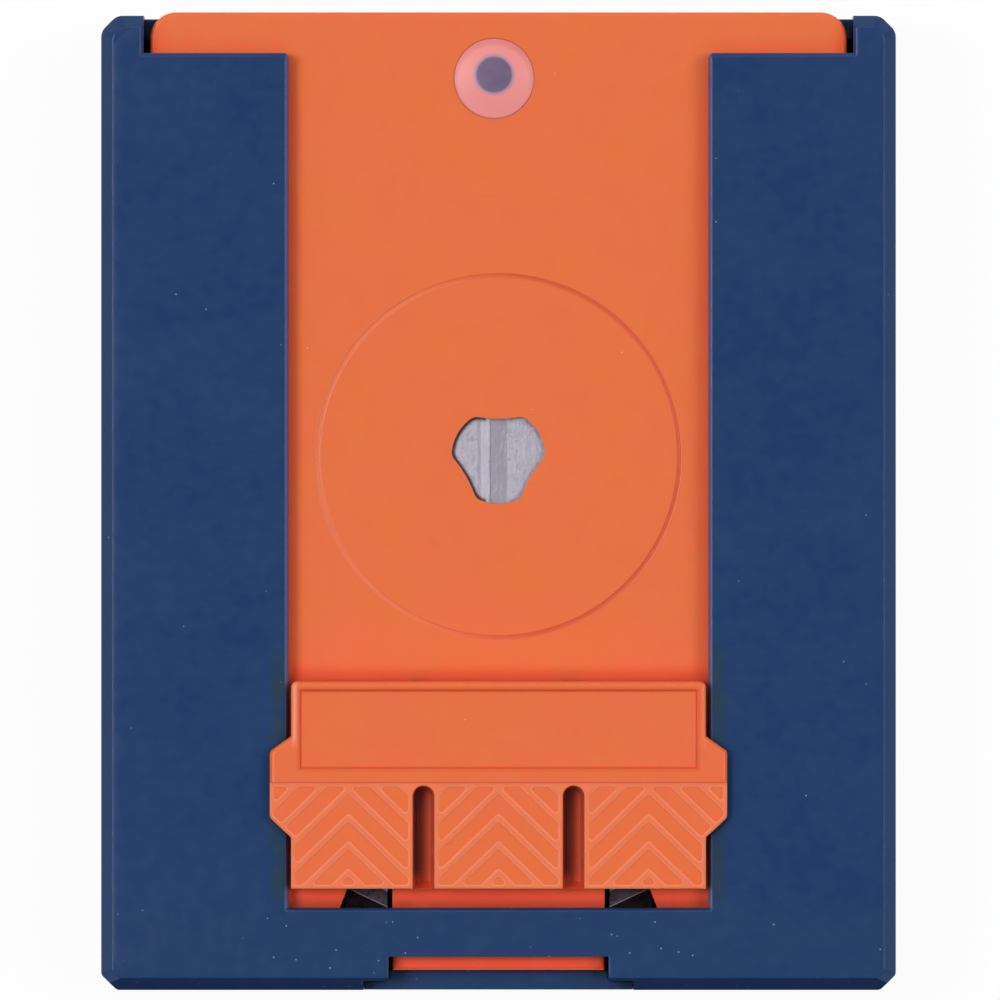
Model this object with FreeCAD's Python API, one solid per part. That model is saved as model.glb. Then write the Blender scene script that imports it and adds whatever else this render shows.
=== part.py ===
import FreeCAD, Part
import math
import os

from FreeCAD import Vector

# A pocket stud finder lying on its back. Millimetres, +Z out of the front face, +Y towards the open
# mouth of the sleeve, +X to the right of somebody looking at the front. The origin is the middle of
# the sleeve's flat back. A navy sleeve (front frame and rear shell) holds an orange carriage that the
# thumb pushes out along +Y. The carriage holds a floating magnet, an indicator light and a coin cell.

# Sleeve, outside
case_width = 63.6
case_length = 78.0
case_thickness = 16.0
corner_chamfer = 1.25
corner_round = 0.5
ear_round = 1.2
side_bevel = 0.9
foot_bevel = 1.0
foot_bevel_drop = 2.2
back_bevel = 0.6
split_height = 8.0

# Sleeve, walls and openings
wall = 1.8
face_thickness = 1.8
floor_thickness = 1.6
ear_width = 3.4
ear_height = 3.0
window_width = 33.6
bar_height = 6.6
window_edge = 0.22
shoulder_round = 0.4
notch_width = 17.6
notch_reach = 0.9
notch_step_width = 21.6
notch_step_depth = 0.75
shell_setback = 0.15
shell_fit = 0.03
rail_thickness = 1.4

# Running clearances of the carriage and how far it slides
slide_gap = 0.3
floor_gap = 0.4
side_play = 0.5
end_play = 1.0
slide_travel = 50.0

# Carriage plate and the tongue on its foot
plate_thickness = 1.6
plate_overhang = 0.3
plate_flange = 2.8
plate_top_round = 2.1
plate_foot_round = 1.0
plate_edge_round = 0.3
tongue_gap = 0.3
tongue_reach = 1.2

# Stiffening ribs under the plate
rib_thickness = 1.0
rib_height = 3.0
rib_spring_gap = 3.0
rib_foot_gap = 6.0

# Tray behind the plate
tray_wall = 1.4
tray_floor = 1.2
tray_setback = 0.3
tray_foot_setback = 0.2
tray_corner_round = 2.0
tray_edge_round = 0.5

# Travel stop: a lug under the tray that runs in a groove of the shell's floor
lug_width = 3.0
lug_length = 4.0
lug_inset = 3.0
lug_drop = 1.0
lug_play = 0.2
groove_floor = 0.7

# Thumb pad
pad_side_gap = 0.2
pad_length = 16.6
pad_rise = 1.3
pad_foot = 1.55
pad_corner_round = 0.5
pad_edge_round = 0.35
wing_reach = 1.7
wing_gap = 0.2
wing_start = 4.4
wing_full = 5.6
wing_back = 10.9
wing_end = 12.5
panel_side_margin = 0.72
panel_top_margin = 0.68
panel_length = 6.3
panel_depth = 0.22
panel_slope = 0.14
grip_length = 8.5
grip_drop = 0.12
slot_width = 1.8
slot_offset = 6.0
slot_depth = 3.0
slot_draft = 0.35
slot_ramp_length = 0.55
slot_ramp_height = 1.5

# Chevron pockets of the grip
ridge_pitch = 2.2
ridge_width = 0.26
ridge_angle = 44.0
ridge_first = 0.55
ridge_offset = 12.0
pocket_depth = 0.12
pocket_slope = 0.1
pocket_round = 0.3
pocket_border = 0.22
pocket_least = 0.5

# Floating magnet, from the pot outwards
float_travel = 1.2
float_floor_gap = 0.2
stop_gap = 0.05
pot_radius = 8.0
pot_wall = 1.0
pot_top = 2.2
pot_round = 0.5
pot_groove_width = 1.36
pot_groove_depth = 0.12
magnet_fit = 0.05
magnet_chamfer = 0.2
sleeve_wall = 1.3
sleeve_ledge = 0.4
sleeve_lip = 0.6
flange_drop = 3.25
flange_thickness = 1.2
flange_rim = 0.45
flange_gap = 0.5
ring_gap = 0.4
ring_width = 2.4
ring_thickness = 0.3
spring_wire = 0.5
spring_gap = 0.4
spring_turns = 4
spring_seat_gap = 0.3
spring_seat_wall = 0.8
spring_seat_height = 1.0

# Magnet well: ring under the plate, witness circle on its face, three-lobed sight hole
pot_recess_gap = 0.4
circle_gap = 3.45
circle_groove = 0.17
well_wall = 1.1
well_lift = 1.8
sight_skin = 0.6
sight_radius = 3.76
sight_waist = 3.02
sight_bulge = 9.0
sight_blend = 0.9
contact_notch_width = 4.4
contact_notch_height = 3.4

# Indicator light and its lens
lens_x = -0.35
lens_inset = 5.3
lens_radius = 3.2
lens_fit = 0.02
lens_dome = 0.35
lens_flange = 0.8
lens_flange_thickness = 0.6
lens_flat_gap = 0.1
lens_recess_radius = 1.95
lens_skin = 0.95
led_offset = 0.3
led_radius = 1.5
led_rim = 0.25
led_rim_thickness = 0.5
led_tip_gap = 0.1
led_height = 2.6
lead_size = 0.45
lead_spacing = 2.54
lead_hole_radius = 0.34
solder_radius = 0.75
solder_tip_radius = 0.35
solder_height = 0.4

# Circuit board
board_thickness = 0.8
board_drop = 2.5
board_gap = 0.4
board_start = 9.3
board_ring_gap = 0.6
board_ledge = 1.0
board_ledge_thickness = 1.1
post_radius = 1.1
post_inset = 9.6

# Parts on the board: length, width and height, then the place measured from the lens
resistor_size = (3.2, 1.6, 0.6)
resistor_place = (-7.0, -3.0)
transistor_size = (2.9, 1.5, 1.0)
transistor_place = (-7.0, -8.0)
capacitor_size = (2.0, 1.25, 1.2)
capacitor_place = (-12.5, -3.0)
chip_chamfer = 0.1
leg_width = 0.4
leg_length = 0.7
leg_thickness = 0.2
leg_spread = 0.95

# Coin cell and its drawer
cell_radius = 10.0
cell_thickness = 3.2
cell_can_step = 0.9
cell_can_round = 0.3
cell_rim_width = 1.2
cell_gasket = 0.3
cell_fit = 0.1
cell_inset = 1.0
cell_side_gap = 0.9
drawer_wall = 1.4
drawer_ledge = 1.0
drawer_floor = 0.5
drawer_rim = 0.3
drawer_fork = 7.0
drawer_gap = 0.3
drawer_lift = 0.4
drawer_round = 0.8
guide_width = 1.2
guide_gap = 0.1
nail_width = 9.0
nail_height = 1.2
nail_depth = 0.7

# Sheet-metal contacts of the cell and of the magnet's ring
strip_thickness = 0.25
contact_width = 3.0
contact_gap = 0.05
contact_toe = 1.2
contact_toe_lift = 0.5
cell_tip_inset = 1.5
cell_contact_base = 3.0
riser_width = 1.6
riser_shift = 1.2
riser_gap = 0.5
sensor_pad = 1.6
sensor_toe = 0.4
sensor_clearance = 0.75
tail_width = 2.4
tail_overlap = 1.2

# Detent springs under the plate, the holes they show in and the pockets they click into
detent_x = 10.6
detent_width = 3.4
detent_thickness = 0.3
detent_nose_inset = 2.0
detent_nose_length = 0.7
detent_catch = 0.35
detent_tail = 0.5
detent_dip = 1.1
detent_dip_start = 0.9
detent_anchor = 3.0
detent_clamp = 6.0
detent_pocket_depth = 0.5
detent_pocket_gap = 0.85
detent_hole_slant = 0.6
detent_hole_gap = 0.4

# Screws: radii of shank and head, head height, and where each kind goes
screw_radius = 1.0
screw_head_radius = 1.8
screw_head_height = 1.3
screw_head_round = 0.5
screw_fit = 0.02
screw_hole_gap = 0.15
screw_head_gap = 0.2
screw_recess = 0.6
screw_cross_width = 0.5
screw_cross_reach = 1.1
case_screw_inset = 2.9
case_screw_end = 9.0
case_screw_length = 9.0
case_screw_sink = 2.0
case_boss_radius = 1.8
case_foot_boss_radius = 2.4
tray_screw_inset = 2.2
tray_screw_drop = 7.7
tray_screw_length = 6.0
tray_screw_sink = 1.4
tray_boss_radius = 2.4
tray_boss_height = 2.2
plate_boss_radius = 2.1
plate_boss_gap = 0.1
pilot_end = 0.6
pad_screw_rise = 10.8
pad_screw_length = 3.6

# Levels, from the back to the front
rear_level = floor_thickness + floor_gap
tray_inside = rear_level + tray_floor
inner_face = case_thickness - face_thickness
plate_front = inner_face - slide_gap
plate_back = plate_front - plate_thickness
rail_top = plate_back - slide_gap
shoulder_level = rail_top + shell_fit
pad_front = case_thickness + pad_rise
grip_front = pad_front - grip_drop
board_front = plate_back - board_drop
board_back = board_front - board_thickness
magnet_low = tray_inside + float_travel + float_floor_gap
pot_back = magnet_low + sleeve_ledge
sight_back = plate_front - sight_skin
pot_front = sight_back - stop_gap
magnet_front = pot_front - pot_top
flange_front = pot_front - flange_drop
flange_back = flange_front - flange_thickness
ring_back = flange_back - ring_thickness
well_foot = tray_inside + well_lift
boss_top = tray_inside + tray_boss_height
drawer_back = tray_inside + drawer_lift
cell_back = drawer_back + drawer_floor
cell_front = cell_back + cell_thickness
drawer_front = cell_front + drawer_rim
led_foot = plate_front - lens_skin - led_tip_gap - led_height

# Edges across the width
half_width = case_width / 2
inside_half = half_width - wall
mouth_half = half_width - ear_width
window_half = window_width / 2
plate_half = mouth_half - side_play
tray_half = plate_half - plate_flange
tray_inner_half = tray_half - tray_wall
rail_inner = tray_half + side_play
rail_outer = rail_inner + rail_thickness
pad_half = window_half - pad_side_gap
drawer_half = cell_radius + cell_fit + drawer_wall
cell_x = tray_inner_half - drawer_half - cell_side_gap
case_screw_x = half_width - case_screw_inset

# Edges along the length
half_length = case_length / 2
end_wall = -half_length + wall
shoulder_y = half_length - ear_height
shell_end = half_length - shell_setback
window_foot = -half_length + bar_height
plate_foot = end_wall + end_play
plate_end = half_length + plate_overhang
tray_foot = plate_foot + tray_foot_setback
tray_end = plate_end - tray_setback
tray_inner_end = tray_end - tray_wall
pad_base = window_foot + pad_foot
pad_end = pad_base + pad_length
grip_end = pad_base + grip_length
pad_screw_y = pad_base + pad_screw_rise
lug_start = tray_foot + lug_inset
detent_nose = window_foot - detent_nose_inset
case_screw_y = half_length - case_screw_end

# Radii of the floating magnet's surroundings, and where its middle is
sleeve_radius = pot_radius + sleeve_wall
spring_inner = sleeve_radius + spring_gap
ring_inner = spring_inner + spring_wire + ring_gap
flange_radius = ring_inner + ring_width + flange_rim
well_radius = flange_radius + flange_gap
well_outer = well_radius + well_wall
circle_radius = well_radius + well_wall / 2
well_y = pad_end + circle_gap + circle_radius

# Places inside the mouth end
lens_y = plate_end - lens_inset
led_y = lens_y + led_offset
cell_y = tray_end - drawer_half - cell_inset
cell_tip_y = cell_y - cell_tip_inset
board_foot = well_y + board_start
board_end = tray_inner_end - board_gap
sensor_tip_x = ring_inner + ring_width / 2
sensor_base_x = well_outer + sensor_clearance + contact_width / 2

os.makedirs("parts", exist_ok=True)


def block(x0, x1, y0, y1, z0, z1):
    return Part.makeBox(x1 - x0, y1 - y0, z1 - z0, Vector(x0, y0, z0))


def disc(radius, z0, z1, x=0.0, y=0.0):
    return Part.makeCylinder(radius, z1 - z0, Vector(x, y, z0))


def hoop(inner, outer, z0, z1, x=0.0, y=0.0):
    return disc(outer, z0, z1, x, y).cut(disc(inner, z0, z1, x, y))


def prism(points, z0, z1):
    corners = [Vector(x, y, z0) for x, y in points]
    outline = Part.makePolygon(corners + corners[:1])
    return Part.Face(outline).extrude(Vector(0, 0, z1 - z0))


def mirrored(shape):
    return shape.mirror(Vector(0, 0, 0), Vector(1, 0, 0))


def mirrored_points(right):
    """A symmetric outline from the points of its right half."""
    return right + [(-x, y) for x, y in right[::-1]]


def upright(edge):
    box = edge.BoundBox
    return box.ZLength > 1e-6 and box.XLength < 1e-6 and box.YLength < 1e-6


def at_height(shape, height):
    """True for an edge or face that lies flat at this height."""
    box = shape.BoundBox
    return abs(box.ZMin - height) < 1e-6 and abs(box.ZMax - height) < 1e-6


def joined(first, others):
    return first.fuse(others).removeSplitter()


def save(shape, node):
    shape.removeSplitter().exportStep("parts/" + node + ".step")


# Sheet metal


def unit_normal(start, end):
    dx = end[0] - start[0]
    dy = end[1] - start[1]
    length = math.hypot(dx, dy)
    return (-dy / length, dx / length)


def offset_path(points, distance):
    """The line that runs beside a bent line at a constant distance, with mitred corners."""
    moved = []
    last = len(points) - 1
    for place, point in enumerate(points):
        before = points[max(place - 1, 0)]
        after = points[min(place + 1, last)]
        first = unit_normal(before, point) if place > 0 else unit_normal(point, after)
        second = unit_normal(point, after) if place < last else first
        shift = distance / (1 + first[0] * second[0] + first[1] * second[1])
        across = shift * (first[0] + second[0])
        along = shift * (first[1] + second[1])
        moved.append((point[0] + across, point[1] + along))
    return moved


def bent_strip(path, thickness, width):
    """A strip whose path is in a plane (u, v) and whose width runs along the third axis from 0."""
    side = offset_path(path, thickness / 2)
    other = offset_path(path, -thickness / 2)
    return prism(side + other[::-1], 0.0, width)


def strip_along_y(path, thickness, width, x):
    """A bent strip whose path is given as (y, z) and whose width is centred on x."""
    strip = bent_strip(path, thickness, width)
    strip.transformShape(FreeCAD.Matrix(0, 0, 1, x - width / 2, 1, 0, 0, 0, 0, 1, 0, 0, 0, 0, 0, 1))
    return strip


def strip_along_x(path, thickness, width, y):
    """A bent strip whose path is given as (x, z) and whose width is centred on y."""
    strip = bent_strip(path, thickness, width)
    strip.transformShape(FreeCAD.Matrix(1, 0, 0, 0, 0, 0, -1, y + width / 2, 0, 1, 0, 0, 0, 0, 0, 1))
    return strip


# Screws


def screw(x, y, seat, length):
    """A pan-head screw that points along +Z, with its head below the seat."""
    low = seat - screw_head_height
    head = disc(screw_head_radius, low, seat, x, y)
    head = head.makeFillet(screw_head_round, [e for e in head.Edges if at_height(e, low)])
    half = screw_cross_width / 2
    reach = screw_cross_reach
    drive = block(x - reach, x + reach, y - half, y + half, low, low + screw_recess)
    drive = drive.fuse(block(x - half, x + half, y - reach, y + reach, low, low + screw_recess))
    return head.cut(drive).fuse(disc(screw_radius, seat, seat + length, x, y))


def screw_hole(x, y, low, high, sink):
    """Clearance for a shank from low to high, and for its head up to the sink above low."""
    shank = disc(screw_radius + screw_hole_gap, low, high, x, y)
    return shank.fuse(disc(screw_head_radius + screw_head_gap, low, low + sink, x, y))


def pilot(x, y, low, high):
    return disc(screw_radius + screw_fit, low, high, x, y)


def case_screw_points():
    return [(x, y) for x in (-case_screw_x, case_screw_x) for y in (-case_screw_y, case_screw_y)]


def tray_corner_point():
    """The screw at the mouth end, in the corner beside the board's ledge."""
    side = tray_inner_half - board_ledge - plate_boss_radius - plate_boss_gap
    return (-side, tray_inner_end - tray_screw_inset)


def tray_screw_points():
    side = tray_inner_half - tray_screw_inset
    foot = tray_foot + tray_wall + tray_screw_inset
    middle = well_y - tray_screw_drop
    return [(-side, foot), (side, foot), (-side, middle), (side, middle), tray_corner_point()]


def pad_screw_points():
    return [(-detent_x, pad_screw_y), (detent_x, pad_screw_y)]


def case_screws():
    points = case_screw_points()
    return Part.makeCompound([screw(x, y, case_screw_sink, case_screw_length) for x, y in points])


def tray_screws():
    seat = rear_level + tray_screw_sink
    return Part.makeCompound([screw(x, y, seat, tray_screw_length) for x, y in tray_screw_points()])


def pad_screws():
    seat = plate_back - detent_thickness
    return Part.makeCompound([screw(x, y, seat, pad_screw_length) for x, y in pad_screw_points()])


# Sleeve


def at_corner(box):
    """True for an edge that climbs the block at one of its cut corners."""
    reach = 2 * corner_chamfer
    return box.ZLength > 1e-6 and box.XLength < reach and box.YLength < reach


def case_block(z0, z1, bevel_height, bevel, mouth):
    """One half's outside block up to its mouth end: cut and softened corners and one bevelled face."""
    w, h, c = half_width, half_length, corner_chamfer
    body = prism(mirrored_points([(w - c, -h), (w, -h + c), (w, mouth - c), (w - c, mouth)]), z0, z1)
    body = body.makeChamfer(bevel, [e for e in body.Edges if at_height(e, bevel_height)])
    feet = [e for e in body.Edges if at_corner(e.BoundBox) and e.BoundBox.YMax < 0]
    body = body.makeFillet(corner_round, feet)
    ears = [e for e in body.Edges if at_corner(e.BoundBox) and e.BoundBox.YMin > 0]
    return body.makeFillet(ear_round, ears)


def foot_wedge():
    """What the steeper bevel takes off the front edge of the sleeve's foot."""
    wedge = prism([(0, 0), (foot_bevel, 0), (0, -foot_bevel_drop)], -half_width, half_width)
    wedge.rotate(Vector(0, 0, 0), Vector(1, 1, 1), 120)
    wedge.translate(Vector(0, -half_length, case_thickness))
    return wedge


def shoulder_corner(box):
    return abs(box.YMax - shoulder_y) < 1e-6 and abs(abs(box.XMax) - window_half) < 1e-6


def window_side(box):
    limit = window_half + shoulder_round + 1e-6
    return abs(box.XMin) < limit and abs(box.XMax) < limit and box.YMin > window_foot - 1e-6


def ear_side(box):
    return box.XLength < 1e-6 and abs(abs(box.XMin) - mouth_half) < 1e-6


def foot_notch():
    """The stepped notch in the sleeve's foot, through which the carriage's tongue shows."""
    foot = -half_length
    deep = foot + wall + notch_reach
    narrow = block(-notch_width / 2, notch_width / 2, foot, deep, split_height, case_thickness)
    step = foot + notch_step_depth
    wide = block(-notch_step_width / 2, notch_step_width / 2, foot, step, split_height, case_thickness)
    return [narrow, wide]


def detent_pockets():
    """Recesses under the foot bar that the detent springs click into."""
    half = detent_width / 2 + side_play
    reach = detent_nose_length / 2 + detent_pocket_gap
    low = detent_nose - reach
    high = detent_nose + reach
    top = inner_face + detent_pocket_depth
    right = block(detent_x - half, detent_x + half, low, high, inner_face, top)
    return [right, mirrored(right)]


def face_openings():
    """The window between the legs and the wider mouth between the ears."""
    window = block(-window_half, window_half, window_foot, half_length, inner_face, case_thickness)
    mouth = block(-mouth_half, mouth_half, shoulder_y, half_length, inner_face, case_thickness)
    return [window, mouth]


def front_frame():
    """The sleeve's front half: a U-shaped face with two ears, side walls and screw bosses."""
    body = case_block(split_height, case_thickness, case_thickness, side_bevel, half_length)
    body = body.cut([foot_wedge()] + face_openings())
    shoulders = [e for e in body.Edges if upright(e) and shoulder_corner(e.BoundBox)]
    body = body.makeFillet(shoulder_round, shoulders)
    face = [e for e in body.Edges if at_height(e, case_thickness)]
    rim = [e for e in face if window_side(e.BoundBox) or ear_side(e.BoundBox)]
    body = body.makeChamfer(window_edge, rim)
    slideway = block(-mouth_half, mouth_half, end_wall, half_length, split_height, inner_face)
    pocket = block(-inside_half, inside_half, end_wall, -end_wall, split_height, shoulder_level)
    body = body.cut([slideway, pocket])
    bosses = [disc(case_boss_radius, split_height, shoulder_level, x, y) for x, y in case_screw_points()]
    pilots = [pilot(x, y, split_height, shoulder_level) for x, y in case_screw_points()]
    return body.fuse(bosses).cut(pilots + foot_notch() + detent_pockets())


def foot_lip():
    """The part of the shell's end wall that stands up inside the frame's stepped notch."""
    narrow = notch_width / 2 - shell_fit
    wide = notch_step_width / 2 - shell_fit
    outer = -half_length
    inner = end_wall - tongue_reach + end_play - shell_fit
    step = -half_length + notch_step_depth - shell_fit
    top = rail_top - shell_fit
    stem = block(-narrow, narrow, outer, inner, split_height, top)
    return stem.fuse(block(-wide, wide, outer, step, split_height, top))


def stop_groove():
    half = lug_width / 2 + lug_play
    high = lug_start + lug_length + slide_travel + lug_play
    return block(-half, half, lug_start - lug_play, high, groove_floor, floor_thickness)


def rear_shell():
    """The sleeve's rear half: flat back, side walls, two rails for the carriage and screw bosses."""
    body = case_block(0.0, split_height, 0.0, back_bevel, shell_end)
    channel = block(-rail_inner, rail_inner, end_wall, half_length, floor_thickness, split_height)
    pocket = block(rail_outer, inside_half, end_wall, -end_wall, floor_thickness, split_height)
    body = body.cut([channel, pocket, mirrored(pocket)])
    rail = block(rail_inner, rail_outer, end_wall, shell_end, split_height, rail_top)
    envelope = block(-half_width, half_width, -half_length, shell_end, 0.0, split_height)
    bosses = []
    for x, y in case_screw_points():
        bosses.append(disc(case_foot_boss_radius, floor_thickness, split_height, x, y).common(envelope))
    body = body.fuse([rail, mirrored(rail), foot_lip()] + bosses)
    holes = [screw_hole(x, y, 0.0, split_height, case_screw_sink) for x, y in case_screw_points()]
    return body.cut(holes + [stop_groove()])


# Carriage plate


def plate_outline():
    """The orange plate: large rounds at the mouth end, small ones at the foot, and the tongue."""
    body = block(-plate_half, plate_half, plate_foot, plate_end, plate_back, plate_front)
    tops = [e for e in body.Edges if upright(e) and e.BoundBox.YMin > plate_foot + plate_top_round]
    body = body.makeFillet(plate_top_round, tops)
    feet = [e for e in body.Edges if upright(e) and e.BoundBox.YMin < plate_foot + plate_foot_round]
    body = body.makeFillet(plate_foot_round, feet)
    half = notch_width / 2 - tongue_gap
    tongue = block(-half, half, plate_foot - tongue_reach, plate_foot, plate_back, plate_front)
    body = joined(body, [tongue])
    return body.makeFillet(plate_edge_round, [e for e in body.Edges if at_height(e, plate_front)])


def sight_hole():
    """The three-lobed hole over the magnet's steel pot: a round one that three bulges reach into."""
    hole = disc(sight_radius, sight_back, plate_front, 0.0, well_y)
    reach = sight_waist + sight_bulge
    bulges = []
    for angle in (90, 210, 330):
        x = reach * math.cos(math.radians(angle))
        y = well_y + reach * math.sin(math.radians(angle))
        bulges.append(disc(sight_bulge, sight_back, plate_front, x, y))
    hole = hole.cut(bulges)
    return hole.makeFillet(sight_blend, [e for e in hole.Edges if upright(e)])


def detent_hole():
    """A slanted opening beside the pad through which one detent spring reaches the foot bar."""
    inner = detent_x - detent_width / 2 - detent_hole_gap
    outer = detent_x + detent_width / 2 + detent_hole_gap
    low = detent_nose - detent_nose_length / 2 - detent_tail - detent_hole_gap
    slanted = (outer - detent_hole_slant, pad_base)
    return prism([(inner, pad_base), slanted, (outer, window_foot), (outer, low), (inner, low)],
                 plate_back, plate_front)


def plate_openings():
    hole = detent_hole()
    cuts = [Part.makeTorus(circle_radius, circle_groove, Vector(0, well_y, plate_front))]
    cuts += [sight_hole(), disc(pot_radius + pot_recess_gap, plate_back, sight_back, 0.0, well_y)]
    cuts += [hole, mirrored(hole)]
    cuts.append(disc(lens_radius + lens_fit, plate_back, plate_front, lens_x, lens_y))
    for x, y in pad_screw_points():
        cuts.append(disc(screw_radius + screw_hole_gap, plate_back, plate_front, x, y))
    return cuts


def magnet_well():
    """The ring that guides the magnet's flange, notched on both sides for the leaf contacts."""
    ring = hoop(well_radius, well_outer, well_foot, plate_back, 0.0, well_y)
    half = contact_notch_width / 2
    top = well_foot + contact_notch_height
    return ring.cut(block(-well_outer, well_outer, well_y - half, well_y + half, well_foot, top))


def stiffening_ribs():
    """Two long ribs and a cross rib under the plate, between the magnet well and the foot."""
    depth = plate_back - rib_height
    side = detent_x - detent_width / 2 - rib_spring_gap
    foot = detent_nose + rib_foot_gap
    top = well_y - well_radius - well_wall / 2
    long_rib = block(side - rib_thickness, side, foot, top, depth, plate_back)
    cross = block(-side, side, foot, foot + rib_thickness, depth, plate_back)
    return [long_rib, mirrored(long_rib), cross]


def board_posts():
    side = tray_inner_half - post_inset
    middle = (board_foot + board_end) / 2
    return [disc(post_radius, board_front, plate_back, x, middle) for x in (-side, side)]


def carriage_plate():
    bosses = [disc(plate_boss_radius, boss_top, plate_back, x, y) for x, y in tray_screw_points()]
    body = plate_outline().cut(plate_openings())
    body = joined(body, [magnet_well()] + bosses + board_posts() + stiffening_ribs())
    return body.cut([pilot(x, y, boss_top, plate_back - pilot_end) for x, y in tray_screw_points()])


# Thumb pad


def pad_body():
    """The pad between the legs with the wings that ride over them."""
    reach = pad_half + wing_reach
    winged = [
        (pad_half, pad_base),
        (pad_half, pad_end - wing_end),
        (reach, pad_end - wing_back),
        (reach, pad_end - wing_full),
        (pad_half, pad_end - wing_start),
        (pad_half, pad_end),
    ]
    stem = block(-pad_half, pad_half, pad_base, pad_end, plate_front, pad_front)
    return joined(stem, [prism(mirrored_points(winged), case_thickness + wing_gap, pad_front)])


def grip_fields():
    """The three chevron fields of the pad as outlines, each with the x of its apex line."""
    low = pad_base + pocket_border
    high = grip_end - pocket_border
    near = slot_offset - slot_width / 2 - pocket_border
    far = slot_offset + slot_width / 2 + pocket_border
    half = pad_half - pocket_border
    reach = half + wing_reach
    middle = mirrored_points([(near, low), (near, high)])
    right = [
        (far, low),
        (half, low),
        (half, pad_end - wing_end + pocket_border / 2),
        (reach, pad_end - wing_back + pocket_border / 2),
        (reach, high),
        (far, high),
    ]
    left = [(-x, y) for x, y in right[::-1]]
    return [(left, -ridge_offset), (middle, 0.0), (right, ridge_offset)]


def chevron_band(apex_x, apex_y):
    """The sunken band between two ridges, as a solid from the pocket's floor up."""
    angle = math.radians(ridge_angle)
    half_ridge = ridge_width / 2 / math.cos(angle)
    span = pad_half
    drop = math.tan(angle) * span
    top = apex_y - half_ridge
    low = apex_y - ridge_pitch + half_ridge
    corners = [
        (apex_x - span, top - drop),
        (apex_x, top),
        (apex_x + span, top - drop),
        (apex_x + span, low - drop),
        (apex_x, low),
        (apex_x - span, low - drop),
    ]
    return prism(corners, grip_front - pocket_depth, grip_front)


def softened_pockets(piece):
    """The same pocket with round corners and sloping sides; a neck narrower than the rounds closes."""
    floor = grip_front - pocket_depth
    flat = next(face for face in piece.Faces if at_height(face, floor))
    opened = flat.makeOffset2D(-pocket_round).makeOffset2D(pocket_round)
    rounded = opened.makeOffset2D(pocket_round / 2).makeOffset2D(-pocket_round / 2)
    pockets = []
    for face in rounded.Faces:
        pocket = Part.Face(face.OuterWire).extrude(Vector(0, 0, pocket_depth))
        pockets.append(pocket.makeChamfer(pocket_slope, [e for e in pocket.Edges if at_height(e, floor)]))
    return pockets


def grip_pockets():
    """Every sunken chevron band of the three fields; slivers at the edges stay solid."""
    rows_above = math.ceil(pad_half / ridge_pitch)
    rows_below = math.ceil(grip_length / ridge_pitch)
    pockets = []
    for outline, apex_x in grip_fields():
        field = prism(outline, grip_front - pocket_depth, grip_front)
        for row in range(-rows_above, rows_below):
            apex_y = grip_end - ridge_first - row * ridge_pitch
            for piece in chevron_band(apex_x, apex_y).common(field).Solids:
                if piece.Volume > pocket_least * pocket_depth:
                    pockets += softened_pockets(piece)
    return pockets


def grip_slot(x):
    """A finger slot with drafted walls, open at the pad's foot, where its floor climbs steeply."""
    radius = slot_width / 2
    narrow = radius - slot_draft
    top = grip_end - pocket_border - radius
    floor = pad_front - slot_depth
    end = Part.makeCone(narrow, radius, slot_depth, Vector(x, top, floor))
    across = [(x - narrow, floor), (x + narrow, floor), (x + radius, pad_front), (x - radius, pad_front)]
    section = Part.makePolygon([Vector(u, top, z) for u, z in across + across[:1]])
    slot = end.fuse(Part.Face(section).extrude(Vector(0, pad_base - top, 0)))
    foot = pad_base + slot_ramp_length
    along = [(foot, floor), (pad_base, floor), (pad_base, floor + slot_ramp_height)]
    side = Part.makePolygon([Vector(x - radius, y, z) for y, z in along + along[:1]])
    return slot.cut(Part.Face(side).extrude(Vector(slot_width, 0, 0)))


def sunk_panel():
    half = pad_half - panel_side_margin
    top = pad_end - panel_top_margin
    floor = pad_front - panel_depth
    panel = block(-half, half, top - panel_length, top, floor, pad_front)
    return panel.makeChamfer(panel_slope, [e for e in panel.Edges if at_height(e, floor)])


def grip_step():
    """What is taken off the front below the panel, so that the ridges stand a little lower."""
    reach = pad_half + wing_reach
    return block(-reach, reach, pad_base, grip_end, grip_front, pad_front)


def pad_corner(box):
    """True at the pad's top end and at the tips of its wings."""
    return abs(box.YMin - pad_end) < 1e-6 or abs(abs(box.XMin) - pad_half - wing_reach) < 1e-6


def thumb_pad():
    """The grip: a body between the legs, wings that ride over them, a sunk panel and the chevrons."""
    body = pad_body()
    corners = [e for e in body.Edges if upright(e) and pad_corner(e.BoundBox)]
    body = body.makeFillet(pad_corner_round, corners)
    body = body.makeFillet(pad_edge_round, [e for e in body.Edges if at_height(e, pad_front)])
    cuts = [sunk_panel(), grip_step(), grip_slot(-slot_offset), grip_slot(slot_offset)]
    cuts += [pilot(x, y, plate_front, plate_back + pad_screw_length) for x, y in pad_screw_points()]
    return body.cut(cuts).cut(grip_pockets())


# Carriage tray


def tray_shell():
    body = block(-tray_half, tray_half, tray_foot, tray_end, rear_level, plate_back)
    body = body.makeFillet(tray_corner_round, [e for e in body.Edges if upright(e)])
    body = body.makeFillet(tray_edge_round, [e for e in body.Edges if at_height(e, rear_level)])
    low = tray_foot + tray_wall
    return body.cut(block(-tray_inner_half, tray_inner_half, low, tray_inner_end, tray_inside, plate_back))


def drawer_mouth():
    reach = drawer_half + drawer_gap
    low = drawer_back - drawer_gap
    return block(cell_x - reach, cell_x + reach, tray_inner_end, tray_end, low, drawer_front + drawer_gap)


def spring_seat():
    inner = spring_inner + spring_wire + spring_seat_gap
    return hoop(inner, inner + spring_seat_wall, tray_inside, tray_inside + spring_seat_height, 0.0, well_y)


def board_ledges():
    inner = tray_inner_half - board_ledge
    low = board_back - board_ledge_thickness
    ledge = block(inner, tray_inner_half, board_foot, tray_inner_end, low, board_back)
    return [ledge, mirrored(ledge)]


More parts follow.
